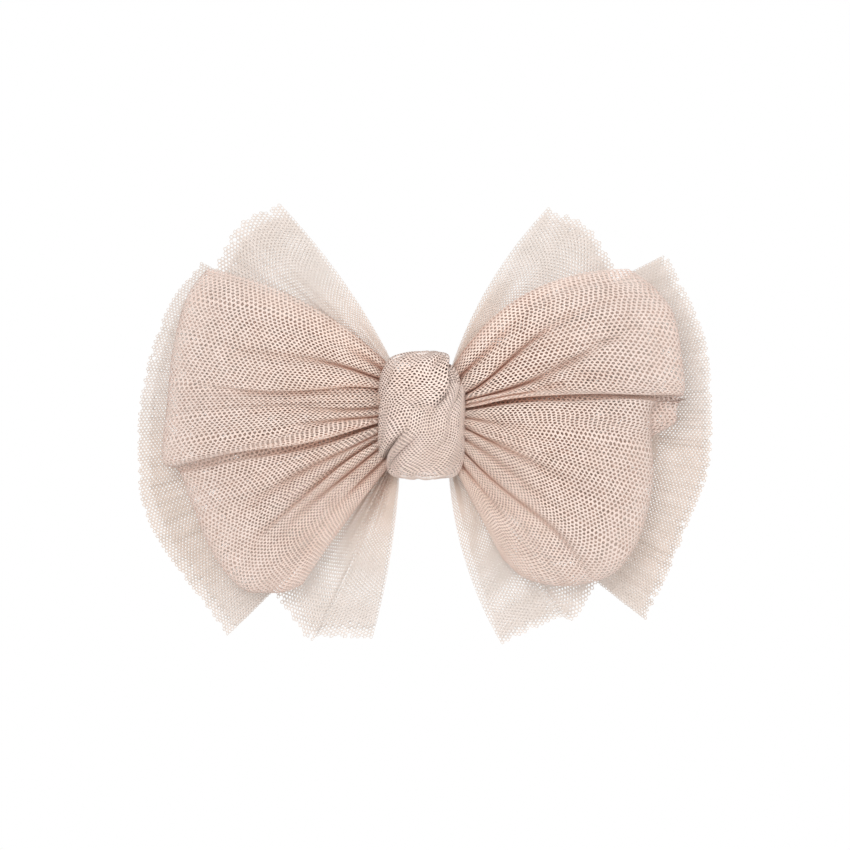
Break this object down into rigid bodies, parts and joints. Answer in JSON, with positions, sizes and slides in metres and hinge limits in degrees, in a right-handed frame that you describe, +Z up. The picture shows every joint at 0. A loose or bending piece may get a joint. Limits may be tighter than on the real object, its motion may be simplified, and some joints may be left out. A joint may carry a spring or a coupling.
{
  "type": "hair bow",
  "caption": "Pleated tulle hair bow with knotted centre, soft folded loops and raw-edged tails, on a sprung alligator clip.",
  "frame": {"origin": "middle of the gap between the clip's arms that holds the hair, behind the knot", "axes": "the bow's face looks along -Y, +X is its width, +Z is up as it is worn"},
  "size_m": [0.1268, 0.0331, 0.0968],
  "materials": {
    "loop_tulle": "Pleated soft nylon tulle, dusty pink, faint sheen",
    "tail_tulle": "Pleated soft nylon tulle, single sheets, dusty pink",
    "knot_tulle": "Same net, several layers pulled tight into a knot",
    "binding_thread": "Twisted polyester thread, tonal",
    "grosgrain_ribbon": "Ribbed grosgrain ribbon, tonal",
    "clip_steel": "Bright nickel plated spring steel sheet",
    "pin_steel": "Drawn steel pin with peened heads",
    "spring_steel": "Drawn spring wire",
    "grip_rubber": "Matt non-slip silicone strip",
    "hot_melt_glue": "Milky hot-melt glue"
  },
  "bodies": {
    "bow": {"clip_upper_arm": "clip_steel", "hinge_pin": "pin_steel", "torsion_spring": "spring_steel", "ribbon_lining": "grosgrain_ribbon", "grip_pad": "grip_rubber", "glue_pad": "hot_melt_glue", "tail_b_back": "tail_tulle", "tail_b_front": "tail_tulle", "tail_a_back": "tail_tulle", "tail_a_front": "tail_tulle", "loop_strip": "loop_tulle", "waist_thread": "binding_thread", "knot_band": "knot_tulle"},
    "lower_arm": {"clip_lower_arm": "clip_steel"}
  },
  "joints": [
    {"name": "clip_jaw", "type": "hinge", "parent": "bow", "child": "lower_arm", "pos_m": [0.012, 0, 0], "axis": [0, 0, -1], "range_deg": [0, 28], "stiffness_Nm_per_rad": 0.08, "springref_deg": -68.75, "deforming": ["torsion_spring"]}
  ]
}
